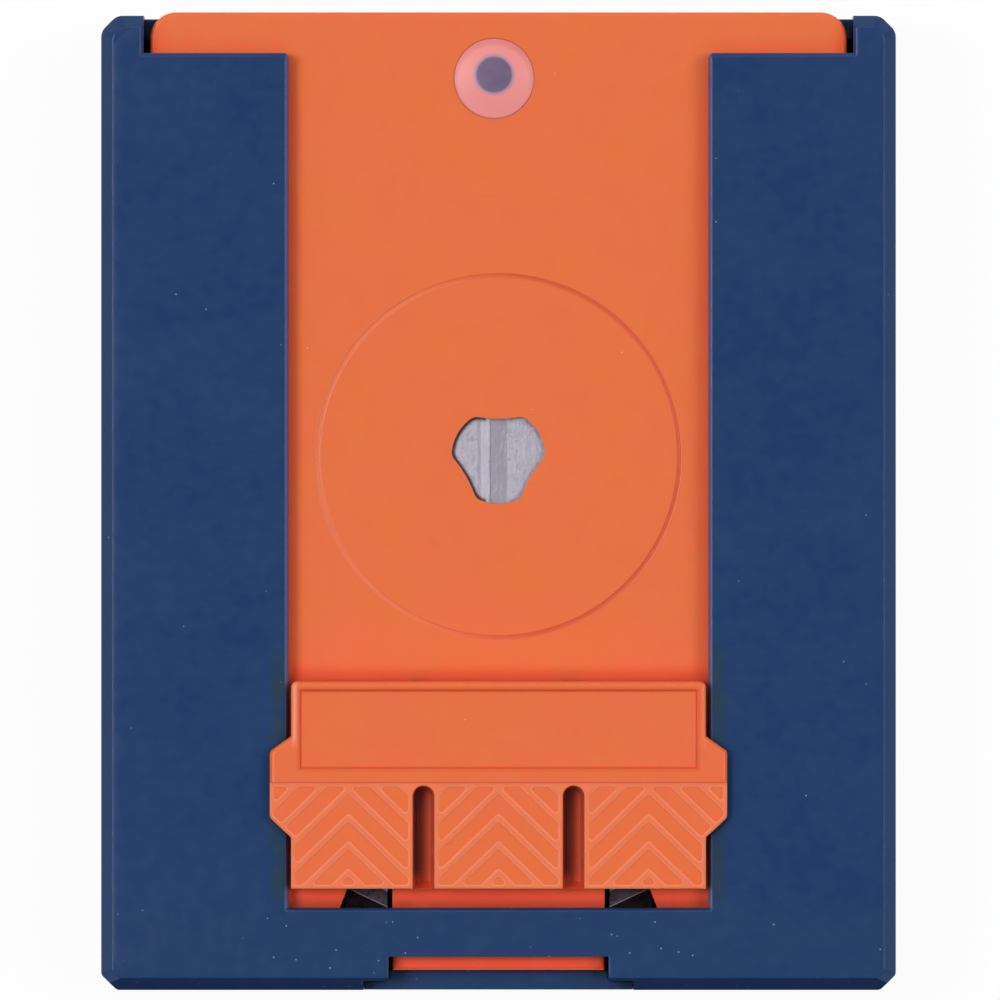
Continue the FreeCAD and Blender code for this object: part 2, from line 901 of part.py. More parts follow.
def drawer_guides():
    """Two low runners on the tray's floor that the drawer slides over."""
    guides = []
    for side in (-1, 1):
        x = cell_x + side * (drawer_half - drawer_wall)
        guides.append(block(x - guide_width / 2, x + guide_width / 2, cell_y, tray_inner_end, tray_inside,
                            drawer_back - guide_gap))
    return guides


def stop_lug():
    half = lug_width / 2
    return block(-half, half, lug_start, lug_start + lug_length, rear_level - lug_drop, tray_inside)


def carriage_tray():
    """The carriage's rear housing, with the drawer's mouth, spring seat, board ledges and stop lug."""
    points = tray_screw_points()
    bosses = [disc(tray_boss_radius, tray_inside, boss_top, x, y) for x, y in points]
    body = tray_shell().cut(drawer_mouth())
    body = joined(body, [spring_seat(), stop_lug()] + board_ledges() + drawer_guides() + bosses)
    return body.cut([screw_hole(x, y, rear_level, boss_top, tray_screw_sink) for x, y in points])


# Indicator light and circuit board


def led_lens():
    """A stepped lens with a shallow dome; its flange is flat where it meets the tray's end wall."""
    low = plate_back - lens_flange_thickness
    stem = disc(lens_radius, low, plate_front, lens_x, lens_y)
    top = plate_front + lens_dome
    ball = (lens_radius ** 2 + lens_dome ** 2) / (2 * lens_dome)
    sphere = Part.makeSphere(ball, Vector(lens_x, lens_y, top - ball))
    cap = sphere.common(disc(lens_radius, plate_front, top, lens_x, lens_y))
    reach = lens_radius + lens_flange
    flat = block(lens_x - reach, lens_x + reach, lens_y - reach, tray_inner_end - lens_flat_gap, low,
                 plate_back)
    flange = disc(reach, low, plate_back, lens_x, lens_y).common(flat)
    body = joined(stem, [cap, flange])
    return body.cut(disc(lens_recess_radius, low, plate_front - lens_skin, lens_x, led_y))


def indicator_led():
    collar = led_foot + led_height - led_radius
    body = disc(led_radius, led_foot, collar, lens_x, led_y)
    dome = Part.makeSphere(led_radius, Vector(lens_x, led_y, collar))
    rim = disc(led_radius + led_rim, led_foot, led_foot + led_rim_thickness, lens_x, led_y)
    return joined(body, [dome, rim])


def lead_points():
    return [(lens_x - lead_spacing / 2, led_y), (lens_x + lead_spacing / 2, led_y)]


def led_leads():
    """Two square leads from the light through the board, each with its solder joint."""
    half = lead_size / 2
    leads = []
    for x, y in lead_points():
        pin = block(x - half, x + half, y - half, y + half, board_back - solder_height - half, led_foot)
        centre = Vector(x, y, board_back - solder_height)
        leads.append(pin.fuse(Part.makeCone(solder_tip_radius, solder_radius, solder_height, centre)))
    return Part.makeCompound(leads)


def circuit_board():
    half = tray_inner_half - board_gap
    corner_x, corner_y = tray_corner_point()
    body = block(-half, half, board_foot, board_end, board_back, board_front)
    cuts = [disc(well_outer + board_ring_gap, board_back, board_front, 0.0, well_y)]
    cuts.append(disc(plate_boss_radius + board_gap, board_back, board_front, corner_x, corner_y))
    cuts += [disc(lead_hole_radius, board_back, board_front, x, y) for x, y in lead_points()]
    return body.cut(cuts)


def chip(size, place):
    """A block on the board; its place is given from the lens."""
    length, width, height = size
    x = lens_x + place[0]
    y = lens_y + place[1]
    top = board_front + height
    body = block(x - length / 2, x + length / 2, y - width / 2, y + width / 2, board_front, top)
    return body.makeChamfer(chip_chamfer, [e for e in body.Edges if at_height(e, top)])


def series_resistor():
    return chip(resistor_size, resistor_place)


def smoothing_capacitor():
    return chip(capacitor_size, capacitor_place)


def driver_transistor():
    """A three-legged package: two legs on the side towards the foot, one on the other."""
    x = lens_x + transistor_place[0]
    y = lens_y + transistor_place[1]
    reach = (transistor_size[1] + leg_length) / 2
    legs = []
    for across, side in ((-leg_spread, -1), (leg_spread, -1), (0.0, 1)):
        middle = y + side * reach
        legs.append(block(x + across - leg_width / 2, x + across + leg_width / 2, middle - leg_length / 2,
                          middle + leg_length / 2, board_front, board_front + leg_thickness))
    return joined(chip(transistor_size, transistor_place), legs)


# Coin cell, its drawer and its contacts


def battery_drawer():
    """A fork that holds the coin cell by its rim and slides out of the carriage's end."""
    low = cell_y - drawer_fork
    body = block(cell_x - drawer_half, cell_x + drawer_half, low, tray_end, drawer_back, drawer_front)
    body = body.makeFillet(drawer_round, [e for e in body.Edges if upright(e) and e.BoundBox.YMin < cell_y])
    seat = disc(cell_radius + cell_fit, cell_back, drawer_front, cell_x, cell_y)
    eye = disc(cell_radius + cell_fit - drawer_ledge, drawer_back, cell_back, cell_x, cell_y)
    middle = (drawer_back + drawer_front) / 2
    nail = block(cell_x - nail_width / 2, cell_x + nail_width / 2, tray_end - nail_depth, tray_end,
                 middle - nail_height / 2, middle + nail_height / 2)
    return body.cut([seat, eye, nail])


def coin_cell():
    """A coin cell: a wide can with its smaller cap facing the tray's floor."""
    step = cell_back + cell_can_step
    can = disc(cell_radius, step, cell_front, cell_x, cell_y)
    can = can.makeFillet(cell_can_round, [e for e in can.Edges if at_height(e, cell_front)])
    rim = hoop(cell_radius - cell_rim_width, cell_radius, cell_back, step, cell_x, cell_y)
    cap = disc(cell_radius - cell_rim_width - cell_gasket, cell_back, step, cell_x, cell_y)
    return joined(can, [rim, cap])


def positive_contact():
    """A leaf under the board that presses on the can of the coin cell."""
    half = strip_thickness / 2
    base = board_back - half
    touch = cell_front + contact_gap + half
    back = cell_y - cell_radius + cell_inset
    path = [
        (back, base),
        (back + cell_contact_base, base),
        (cell_tip_y, touch),
        (cell_tip_y + contact_toe, touch + contact_toe_lift),
    ]
    return strip_along_y(path, strip_thickness, contact_width, cell_x)


def negative_contact():
    """A leaf on the tray's floor that presses on the cell's cap, with a riser up to the board."""
    half = strip_thickness / 2
    floor = tray_inside + half
    back = cell_y - cell_radius - riser_gap - half
    leaf = [
        (back, floor),
        (back + cell_contact_base + contact_toe, floor),
        (cell_tip_y, cell_back - contact_gap - half),
        (cell_tip_y + contact_toe, floor + half),
    ]
    riser = [(back, board_back), (back, floor), (back + tail_overlap, floor)]
    blade = strip_along_y(leaf, strip_thickness, contact_width, cell_x)
    return joined(blade, [strip_along_y(riser, strip_thickness, riser_width, cell_x + riser_shift)])


# Contacts of the magnet's ring


def right_sensor_contact():
    """A leaf that the magnet's contact ring closes on, with a tail along the floor and up to the board."""
    half = strip_thickness / 2
    tip = ring_back - float_travel - contact_gap - half
    floor = tray_inside + half
    pad = sensor_pad / 2
    riser_y = board_foot + tail_overlap
    arm = [
        (sensor_base_x + contact_width / 2, floor),
        (sensor_base_x - contact_width / 2, floor),
        (sensor_tip_x + pad, tip),
        (sensor_tip_x - pad, tip),
        (sensor_tip_x - pad - sensor_toe, tip - contact_toe_lift),
    ]
    tail = [(well_y, floor), (riser_y, floor), (riser_y, board_back)]
    blade = strip_along_x(arm, strip_thickness, contact_width, well_y)
    return joined(blade, [strip_along_y(tail, strip_thickness, tail_width, sensor_base_x)])


def left_sensor_contact():
    return mirrored(right_sensor_contact())


# Detent springs


def right_detent_spring():
    """A leaf screwed under the plate whose nose stands up behind the foot bar of the sleeve."""
    half = detent_thickness / 2
    base = plate_back - half
    nose = inner_face + detent_catch - half
    flat = detent_nose_length / 2
    path = [
        (pad_screw_y + detent_anchor, base),
        (pad_screw_y - detent_clamp, base),
        (pad_base + detent_dip_start, base - detent_dip),
        (detent_nose + flat, nose),
        (detent_nose - flat, nose),
        (detent_nose - flat - detent_tail, nose - detent_tail),
    ]
    leaf = strip_along_y(path, detent_thickness, detent_width, detent_x)
    return leaf.cut(disc(screw_radius + screw_hole_gap, base - half, base + half, detent_x, pad_screw_y))


def left_detent_spring():
    return mirrored(right_detent_spring())


# Floating magnet


def magnet_pot():
    """A deep-drawn steel pot, open towards the wall, with a straight groove across its top."""
    body = disc(pot_radius, pot_back, pot_front, 0.0, well_y)
    body = body.makeFillet(pot_round, [e for e in body.Edges if at_height(e, pot_front)])
    inside = disc(pot_radius - pot_wall, pot_back, magnet_front, 0.0, well_y)
    half = pot_groove_width / 2
    floor = pot_front - pot_groove_depth
    groove = block(-half, half, well_y - pot_radius, well_y + pot_radius, floor, pot_front)
    return body.cut([inside, groove])


def magnet_disc():
    body = disc(pot_radius - pot_wall - magnet_fit, pot_back, magnet_front, 0.0, well_y)
    return body.makeChamfer(magnet_chamfer, [e for e in body.Edges if at_height(e, pot_back)])


def magnet_carrier():
    """The moulded guide round the pot: a sleeve with a ledge below and a flange that runs in the well."""
    bore = pot_radius + magnet_fit
    sleeve = hoop(bore, sleeve_radius, magnet_low, flange_front, 0.0, well_y)
    ledge = hoop(pot_radius - sleeve_lip, sleeve_radius, magnet_low, pot_back, 0.0, well_y)
    flange = hoop(bore, flange_radius, flange_back, flange_front, 0.0, well_y)
    return joined(sleeve, [ledge, flange])


def contact_ring():
    return hoop(ring_inner, ring_inner + ring_width, ring_back, flange_back, 0.0, well_y)


def magnet_spring():
    """A coil of square wire from the tray's floor to the carrier's flange, with its ends ground flat."""
    spring_outer = spring_inner + spring_wire
    height = flange_back - tray_inside
    pitch = height / spring_turns
    start = tray_inside - pitch / 2
    helix = Part.makeHelix(pitch, height + pitch, spring_inner + spring_wire / 2)
    helix.translate(Vector(0, well_y, start))
    low = start - spring_wire / 2
    high = start + spring_wire / 2
    corners = [(spring_inner, low), (spring_outer, low), (spring_outer, high), (spring_inner, high)]
    section = Part.makePolygon([Vector(x, well_y, z) for x, z in corners + corners[:1]])
    coil = Part.Wire(helix.Edges).makePipeShell([section], True, True)
    span = spring_outer + spring_wire
    return coil.common(block(-span, span, well_y - span, well_y + span, tray_inside, flange_back))


def main():
    pieces = [
        front_frame, rear_shell, case_screws,
        carriage_plate, thumb_pad, pad_screws, carriage_tray, tray_screws,
        led_lens, indicator_led, led_leads,
        circuit_board, series_resistor, driver_transistor, smoothing_capacitor,
        battery_drawer, coin_cell, positive_contact, negative_contact,
        left_sensor_contact, right_sensor_contact, left_detent_spring, right_detent_spring,
        magnet_pot, magnet_disc, magnet_carrier, contact_ring, magnet_spring,
    ]
    for piece in pieces:
        save(piece(), piece.__name__)


main()
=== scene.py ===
import bpy
import math

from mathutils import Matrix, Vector


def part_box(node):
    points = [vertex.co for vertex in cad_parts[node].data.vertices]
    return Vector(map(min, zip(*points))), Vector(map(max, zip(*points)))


# A pocket stud finder on its back on a white table, seen from straight above. Metres, in the frame of
# the CAD model: +Z out of its front face, +Y towards the open end of its sleeve.

MM = 0.001

# Camera: what its picture spans on the front face and where it looks
PICTURE_SPAN = 80.0 * MM
PICTURE_CENTRE = (0.12 * MM, 0.24 * MM)
CAMERA_HEIGHT = 2.0
SENSOR = 36.0

# Table
TABLE_SIZE = 40.0
TABLE_WHITE = 0.97
TABLE_GLOW = 0.93
TABLE_GAP = 0.02 * MM

# The sleeve: half the width of its window, where its foot bar starts, and the middle part of its face,
# beyond which the face falls off towards its border
WINDOW_HALF = 16.8 * MM
FOOT_BAR = -32.4 * MM
FACE_HALF_WIDTH = 28.4 * MM
FACE_HALF_LENGTH = 35.6 * MM

# The foot's bevel: the way that it faces, and the gentler way that it takes the light from
FOOT_BEVEL_WAY = (0.0, -0.91, 0.414)
FOOT_BEVEL_LOOK = (0.0, -0.64, 0.77)

# The pad's grip: how long it is, how far it lies below the pad's front, how deep its chevron pockets are,
# how far its two slots are from the middle, and a little more than half a slot's width
GRIP_LENGTH = 8.5 * MM
GRIP_DROP = 0.12 * MM
POCKET_DEPTH = 0.12 * MM
SLOT_OFFSET = 6.0 * MM
SLOT_HALF = 0.95 * MM

# The witness circle round the magnet
CIRCLE_RADIUS = 14.5 * MM

# The pad's panel: its half sizes and how far its middle is from the pad's upper edge
PANEL_HALF_WIDTH = 15.9 * MM
PANEL_HALF_HEIGHT = 3.15 * MM
PANEL_DROP = 3.83 * MM

# Light of the room: at the sides, straight above, and what share of it the near side gives
ROOM_SIDES = 0.34
ROOM_ABOVE = 0.16
ROOM_NEAR_SIDE = 0.20

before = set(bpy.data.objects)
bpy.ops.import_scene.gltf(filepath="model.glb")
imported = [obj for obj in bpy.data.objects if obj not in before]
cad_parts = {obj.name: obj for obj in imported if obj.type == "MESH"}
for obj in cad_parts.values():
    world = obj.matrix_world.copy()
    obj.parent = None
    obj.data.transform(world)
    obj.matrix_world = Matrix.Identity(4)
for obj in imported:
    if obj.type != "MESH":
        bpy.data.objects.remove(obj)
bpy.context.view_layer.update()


# Nodes


def colour(code):
    """Linear red, green, blue and alpha of a colour written as six hexadecimal digits."""
    channels = []
    for start in (0, 2, 4):
        value = int(code[start:start + 2], 16) / 255
        channels.append(value / 12.92 if value <= 0.04045 else ((value + 0.055) / 1.055) ** 2.4)
    return (*channels, 1.0)


class Recipe:
    """A material under construction. Each method adds nodes and gives back the output that it makes."""

    def __init__(self, name):
        self.material = bpy.data.materials.new(name)
        self.material.use_nodes = True
        self.tree = self.material.node_tree
        self.tree.nodes.clear()
        self.shader = self.add("ShaderNodeBsdfPrincipled")
        output = self.add("ShaderNodeOutputMaterial")
        self.tree.links.new(self.shader.outputs["BSDF"], output.inputs["Surface"])
        self.place = self.add("ShaderNodeTexCoord").outputs["Object"]

    def add(self, kind, inputs=None, **settings):
        made = self.tree.nodes.new(kind)
        for name, value in settings.items():
            setattr(made, name, value)
        for socket, value in (inputs or {}).items():
            self.feed(made.inputs[socket], value)
        return made

    def feed(self, socket, value):
        if isinstance(value, bpy.types.NodeSocket):
            self.tree.links.new(value, socket)
        else:
            socket.default_value = value

    def set(self, **values):
        for name, value in values.items():
            self.feed(self.shader.inputs[name.replace("_", " ")], value)

    def math(self, operation, first, second=0.0):
        return self.add("ShaderNodeMath", {0: first, 1: second}, operation=operation).outputs[0]

    def noise(self, size, detail=2.0, roughness=0.5, stretch=(1.0, 1.0, 1.0)):
        """Noise between 0 and 1 whose grains are about this size in metres."""
        place = self.add("ShaderNodeVectorMath", {0: self.place, 1: stretch}, operation="MULTIPLY")
        settings = {"Vector": place.outputs[0], "Scale": 1 / size, "Detail": detail, "Roughness": roughness}
        return self.add("ShaderNodeTexNoise", settings).outputs["Fac"]

    def between(self, value, low, high, first=0.0, second=1.0):
        """A smooth step from first to second as the value goes from low to high."""
        settings = {"Value": value, "From Min": low, "From Max": high, "To Min": first, "To Max": second}
        return self.add("ShaderNodeMapRange", settings, interpolation_type="SMOOTHSTEP").outputs["Result"]

    def ramp(self, value, low, high):
        """A straight climb from 0 to 1 as the value goes from low to high."""
        settings = {"Value": value, "From Min": low, "From Max": high}
        return self.add("ShaderNodeMapRange", settings).outputs["Result"]

    def mix(self, amount, first, second):
        made = self.add("ShaderNodeMix", {0: amount, 6: first, 7: second}, data_type="RGBA")
        return made.outputs[2]

    def openness(self, reach):
        """1 in the open and 0 deep in a slot or a corner."""
        return self.add("ShaderNodeAmbientOcclusion", {"Distance": reach}, samples=12).outputs["AO"]

    def both(self, *shares):
        """The product of shares: 1 only where all of them are 1."""
        product = shares[0]
        for share in shares[1:]:
            product = self.math("MULTIPLY", product, share)
        return product

    def band(self, value, low, high, soft):
        """1 between low and high, with soft shoulders, and 0 outside."""
        rise = self.between(value, low - soft, low + soft)
        fall = self.between(value, high - soft, high + soft, 1.0, 0.0)
        return self.both(rise, fall)

    def distance_to(self, point):
        """How far the surface is from the upright line through a point."""
        beside = self.add("ShaderNodeVectorMath", {0: self.place, 1: tuple(point)}, operation="SUBTRACT")
        flat = self.add("ShaderNodeVectorMath", {0: beside.outputs[0], 1: (1, 1, 0)}, operation="MULTIPLY")
        return self.add("ShaderNodeVectorMath", {0: flat.outputs[0]}, operation="LENGTH").outputs["Value"]

    def axis(self, name):
        return self.add("ShaderNodeSeparateXYZ", {0: self.place}).outputs[name]

    def beyond(self, name, limit):
        """How far the surface is from the middle on one axis, less this limit, and 0 inside it."""
        out = self.math("SUBTRACT", self.math("ABSOLUTE", self.axis(name)), limit)
        return self.math("MAXIMUM", out, 0.0)

    def past_slant(self, across, start, lean):
        """How far along Y the surface is past a slanted line, which leans with the distance across."""
        return self.math("SUBTRACT", self.math("ADD", self.axis("Y"), start), self.both(across, lean))

    def from_plateau(self, half_x, half_y):
        """The distance outwards from a rectangle of these half sizes round the origin."""
        across = self.math("POWER", self.beyond("X", half_x), 2.0)
        along = self.math("POWER", self.beyond("Y", half_y), 2.0)
        return self.math("SQRT", self.math("ADD", across, along))

    def rounded(self, radius):
        return self.add("ShaderNodeBevel", {"Radius": radius}, samples=6).outputs["Normal"]

    def edges(self, radius):
        """1 along the edges of the shape and 0 on its flats."""
        flat = self.add("ShaderNodeNewGeometry").outputs["Normal"]
        turn = self.add("ShaderNodeVectorMath", {0: self.rounded(radius), 1: flat}, operation="DOT_PRODUCT")
        return self.between(self.math("SUBTRACT", 1.0, turn.outputs["Value"]), 0.02, 0.22)

    def faces(self, way):
        """1 on the flats that face this way and 0 elsewhere."""
        flat = self.add("ShaderNodeNewGeometry").outputs["Normal"]
        turn = self.add("ShaderNodeVectorMath", {0: flat, 1: way}, operation="DOT_PRODUCT")
        return self.between(turn.outputs["Value"], 0.96, 0.98)

    def bump(self, height, depth, normal=None):
        inputs = {"Height": height, "Distance": depth, "Strength": 1.0}
        if normal is not None:
            inputs["Normal"] = normal
        return self.add("ShaderNodeBump", inputs).outputs["Normal"]

    def flatten(self, amount):
        """Let the surface take the light as if it lay flat, by this amount."""
        now = self.shader.inputs["Normal"].links[0].from_socket
        settings = {0: amount, 4: now, 5: (0.0, 0.0, 1.0)}
        self.set(Normal=self.add("ShaderNodeMix", settings, data_type="VECTOR").outputs[1])

    def repaint(self, amount, new):
        """Mix a colour over what the material has so far."""
        base = self.shader.inputs["Base Color"].links[0].from_socket
        self.set(Base_Color=self.mix(amount, base, new))

    def specks(self, spacing, size, share):
        """Sparse round specks: one to a cell, in this share of the cells."""
        settings = {"Vector": self.place, "Scale": 1 / spacing}
        cells = self.add("ShaderNodeTexVoronoi", settings)
        near = self.between(cells.outputs["Distance"], size / spacing * 0.4, size / spacing, 1.0, 0.0)
        chance = self.add("ShaderNodeSeparateColor", {0: cells.outputs["Color"]}).outputs[0]
        return self.both(near, self.math("LESS_THAN", chance, share))


# Materials


def navy_plastic():
    """Fine moulded grain, pale specks, edges lighter from wear and a painted highlight, a painted highlight
    along the window, painted shade in hollows and on the foot's bevel, a face that falls off towards its
    border and two bands that the pad's wings have rubbed."""
    look = Recipe("navy_plastic_look")
    base = look.mix(look.between(look.noise(9 * MM, 3.0), 0.35, 0.65), colour("183867"), colour("1D3B69"))
    across = look.math("ABSOLUTE", look.axis("X"))
    along = look.axis("Y")
    foot = look.between(along, -34.0 * MM, -31.0 * MM, 1.0, 0.0)
    base = look.mix(look.both(foot, 0.5), base, colour("223E64"))
    beside = look.band(across, 16.9 * MM, 18.2 * MM, 0.4 * MM)
    below_stroke = look.between(along, -13.5 * MM, -9.5 * MM, 1.0, 0.0)
    above_bar = look.between(along, -32.2 * MM, -31.4 * MM)
    patches = look.between(look.noise(2.2 * MM, 3.0), 0.3, 0.7, 0.45, 0.95)
    rubbed = look.both(beside, below_stroke, above_bar, patches)
    base = look.mix(rubbed, base, colour("243B4E"))
    base = look.mix(look.specks(0.6 * MM, 0.08 * MM, 0.02), base, colour("8DA4C0"))
    dust = look.both(foot, look.specks(0.5 * MM, 0.08 * MM, 0.11))
    base = look.mix(dust, base, colour("8C9FB6"))
    # Edges lighter from wear and from a painted highlight.
    worn_and_highlit_edges = look.both(look.edges(0.16 * MM), look.between(look.noise(1.6 * MM, 4.0), 0.35, 0.7))
    base = look.mix(look.both(worn_and_highlit_edges, 0.4), base, colour("6A78A8"))
    # A painted highlight along the rim of the window.
    rim = look.band(across, WINDOW_HALF, WINDOW_HALF + 0.24 * MM, 0.03 * MM)
    on_face = look.between(look.axis("Z"), 15.6 * MM, 15.7 * MM)
    beside_window = look.between(along, FOOT_BAR - 0.1 * MM, FOOT_BAR + 0.1 * MM)
    base = look.mix(look.both(rim, on_face, beside_window, 0.5), base, colour("7A6A96"))
    # Painted shade: darker the more closed in the surface is.
    painted_hollow_shade = look.between(look.openness(3.0 * MM), 0.2, 0.66, 1.0, 0.0)
    base = look.mix(look.both(painted_hollow_shade, 0.85), base, colour("070C1A"))
    # Painted shade on the foot's bevel, which also takes the light by a gentler normal.
    bevel = look.faces(FOOT_BEVEL_WAY)
    base = look.mix(look.both(bevel, 0.6), base, colour("0C2148"))
    normals = {0: bevel, 4: look.rounded(0.24 * MM), 5: FOOT_BEVEL_LOOK}
    softened = look.add("ShaderNodeMix", normals, data_type="VECTOR").outputs[1]
    outwards = look.from_plateau(FACE_HALF_WIDTH, FACE_HALF_LENGTH)
    fall = look.math("POWER", look.ramp(outwards, 1.3 * MM, 2.5 * MM), 3.0)
    normal = look.bump(look.math("SUBTRACT", 1.0, fall), 0.028 * MM, softened)
    normal = look.bump(look.noise(0.14 * MM, 2.0, 0.6), 0.004 * MM, normal)
    rough = look.between(look.noise(1.1 * MM, 3.0), 0.3, 0.7, 0.21, 0.26)
    look.set(Base_Color=base, Roughness=rough, Normal=normal, Specular_IOR_Level=0.28)
    return look.material


def orange(name, first, second, rounding):
    """Satin moulded plastic that light enters, with painted shade that turns redder in hollows. It has
    faint clouds, specks, chipped edges and edges lighter from wear and a painted highlight."""
    look = Recipe(name)
    base = look.mix(look.between(look.noise(7 * MM, 3.0), 0.35, 0.65), first, second)
    base = look.mix(look.specks(0.9 * MM, 0.08 * MM, 0.012), base, colour("F7BE9C"))
    chips = look.both(look.edges(0.12 * MM), look.specks(0.7 * MM, 0.16 * MM, 0.06))
    # Edges lighter from wear and from a painted highlight.
    base = look.mix(look.both(look.edges(0.1 * MM), 0.55), base, colour("F78B62"))
    base = look.mix(chips, base, colour("FBE3D6"))
    # Painted shade: redder the more closed in the surface is.
    painted_hollow_shade = look.between(look.openness(2.5 * MM), 0.40, 0.88, 0.85, 0.0)
    base = look.mix(painted_hollow_shade, base, colour("FC5E34"))
    grain = look.noise(0.16 * MM, 2.0, 0.6)
    normal = look.bump(grain, 0.004 * MM, look.rounded(rounding))
    rough = look.between(look.noise(1.3 * MM, 3.0), 0.3, 0.7, 0.29, 0.35)
    look.set(Base_Color=base, Roughness=rough, Normal=normal, Specular_IOR_Level=0.28)
    look.set(Subsurface_Weight=0.5, Subsurface_Radius=(1.0, 0.14, 0.04), Subsurface_Scale=0.6 * MM)
    return look


def orange_plastic():
    """The carriage: painted shading along its witness circle, lighter on the left and darker on the right,
    painted shade in the corner above the pad, painted light that makes its tongue a brighter red, and
    painted shade on the strip below the pad, darker towards the foot."""
    look = orange("orange_plastic_look", colour("E9743C"), colour("EA7241"), 0.12 * MM)
    low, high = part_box("magnet_pot")
    from_magnet = look.distance_to((low + high) / 2)
    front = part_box("carriage_plate")[1].z
    on_face = look.between(look.axis("Z"), front - 0.3 * MM, front - 0.2 * MM)
    circle = look.band(from_magnet, CIRCLE_RADIUS - 0.2 * MM, CIRCLE_RADIUS + 0.2 * MM, 0.12 * MM)
    circle = look.both(circle, on_face)
    look.flatten(circle)
    # Painted shading along the witness circle's groove: lighter on the left, darker on the right.
    shade_towards_right = look.between(look.axis("X"), -9.0 * MM, 4.0 * MM)
    look.repaint(look.both(circle, 0.75), look.mix(shade_towards_right, colour("F08258"), colour("DC5A32")))
    pad_start, pad_end = (corner.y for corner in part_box("thumb_pad"))
    # Painted shade in the corner above the pad.
    above = look.between(look.axis("Y"), pad_end, pad_end + 1.5 * MM, 0.75, 0.0)
    grip = look.between(look.axis("Y"), pad_end - 1.0 * MM, pad_end - 0.5 * MM)
    between_legs = look.math("LESS_THAN", look.math("ABSOLUTE", look.axis("X")), WINDOW_HALF)
    look.repaint(look.both(above, grip, between_legs), colour("C9431F"))
    # Painted shade on the strip below the pad: redder, and darker towards the foot.
    below = look.between(look.axis("Y"), pad_start - 0.1 * MM, pad_start + 0.1 * MM, 1.0, 0.0)
    down = look.between(look.axis("Y"), pad_start - 1.4 * MM, pad_start - 0.5 * MM, 1.0, 0.0)
    strip = look.mix(down, colour("FF5A33"), colour("C23A20"))
    look.repaint(look.both(below, 0.8), strip)
    # Painted light on the tongue: a brighter red.
    tongue = look.between(look.axis("Y"), pad_start - 3.6 * MM, pad_start - 3.4 * MM, 1.0, 0.0)
    look.repaint(look.both(tongue, 0.9), colour("FF5A35"))
    return look.material


def grip_plastic():
    """The pad: painted highlights on its ridges, on the sides of their pockets and on its upright borders,
    painted shade along its panel's outline, and painted shade in its two slots, least on the right and at
    the foot."""
    look = orange("grip_plastic_look", colour("E9723C"), colour("EA7041"), 0.12 * MM)
    low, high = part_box("thumb_pad")
    front = high.z - GRIP_DROP
    grip_end = low.y + GRIP_LENGTH
    grip = look.between(look.axis("Y"), grip_end - 0.1 * MM, grip_end, 1.0, 0.0)
    # Painted highlight on the ridges.
    ridges = look.between(look.axis("Z"), front - 0.9 * POCKET_DEPTH, front - 0.7 * POCKET_DEPTH, 0.0, 0.55)
    look.repaint(look.both(ridges, grip), colour("F5865F"))
    # Painted highlight on the pockets' sides, which take the light as if they lay flat.
    sides = look.band(look.axis("Z"), front - 0.9 * POCKET_DEPTH, front - 0.1 * POCKET_DEPTH, 0.006 * MM)
    look.repaint(look.both(sides, grip), colour("F9906A"))
    look.flatten(look.both(sides, grip))
    # Painted highlight on the pad's upright borders, wider on the left.
    above = look.between(look.axis("Y"), high.y - 5.6 * MM, high.y - 4.6 * MM)
    left = look.band(look.axis("X"), -16.55 * MM, -16.1 * MM, 0.08 * MM)
    right = look.band(look.axis("X"), 16.35 * MM, 16.55 * MM, 0.05 * MM)
    border = look.math("ADD", look.both(left, 0.75), look.both(right, 0.35))
    look.repaint(look.both(border, above), colour("F59276"))
    # Painted shade along the panel's outline.
    beyond_sides = look.math("SUBTRACT", look.math("ABSOLUTE", look.axis("X")), PANEL_HALF_WIDTH)
    from_middle = look.math("ABSOLUTE", look.math("SUBTRACT", look.axis("Y"), high.y - PANEL_DROP))
    beyond_ends = look.math("SUBTRACT", from_middle, PANEL_HALF_HEIGHT)
    outline = look.math("ABSOLUTE", look.math("MAXIMUM", beyond_sides, beyond_ends))
    face = look.between(look.axis("Z"), high.z - 0.8 * MM, high.z - 0.7 * MM)
    outline = look.both(look.between(outline, 0.08 * MM, 0.30 * MM, 0.55, 0.0), face)
    look.repaint(outline, colour("DE5328"))
    # Painted shade in the two slots, least on the right and at the foot.
    across = look.axis("X")
    from_slot = look.math("SUBTRACT", across, look.both(look.math("SIGN", across), SLOT_OFFSET))
    inside = look.math("LESS_THAN", look.math("ABSOLUTE", from_slot), SLOT_HALF)
    depth = look.between(look.axis("Z"), high.z - 1.2 * MM, high.z - 0.4 * MM, 1.0, 0.0)
    unlit = look.between(from_slot, -0.7 * MM, 0.75 * MM, 0.93, 0.12)
    foot = look.between(look.axis("Y"), low.y + 0.2 * MM, low.y + 1.6 * MM, 0.35, 1.0)
    look.repaint(look.both(inside, depth, unlit, foot), colour("480C06"))
    return look.material


def lens_plastic():
    """Milky pink with painted shade towards its border, and the dark light behind it seen as a soft disc
    that has a bluish rim.
    """
    look = Recipe("lens_plastic_look")
    low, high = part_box("indicator_led")
    from_light = look.distance_to((low + high) / 2)
    milky = look.mix(look.noise(1.4 * MM, 3.0), colour("EB8C8A"), colour("EE9491"))
    # Painted shade towards the lens's border.
    rim = look.between(look.distance_to(lens_middle()), 2.75 * MM, 3.15 * MM)
    milky = look.mix(look.both(rim, 0.55), milky, colour("DC6F6C"))
    halo = look.mix(look.between(from_light, 1.5 * MM, 1.8 * MM), colour("B58FA4"), milky)
    shade = look.mix(look.noise(0.9 * MM, 2.0), colour("66536F"), colour("7D6A88"))
    base = look.mix(look.between(from_light, 1.32 * MM, 1.55 * MM), shade, halo)
    rough = look.between(look.noise(0.5 * MM), 0.3, 0.7, 0.3, 0.36)
    look.set(Base_Color=base, Roughness=rough, Specular_IOR_Level=0.2)
    look.set(Normal=look.bump(look.noise(0.8 * MM), 0.002 * MM, look.rounded(0.14 * MM)))
    return look.material


def lens_middle():
    low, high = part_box("led_lens")
    return (low + high) / 2


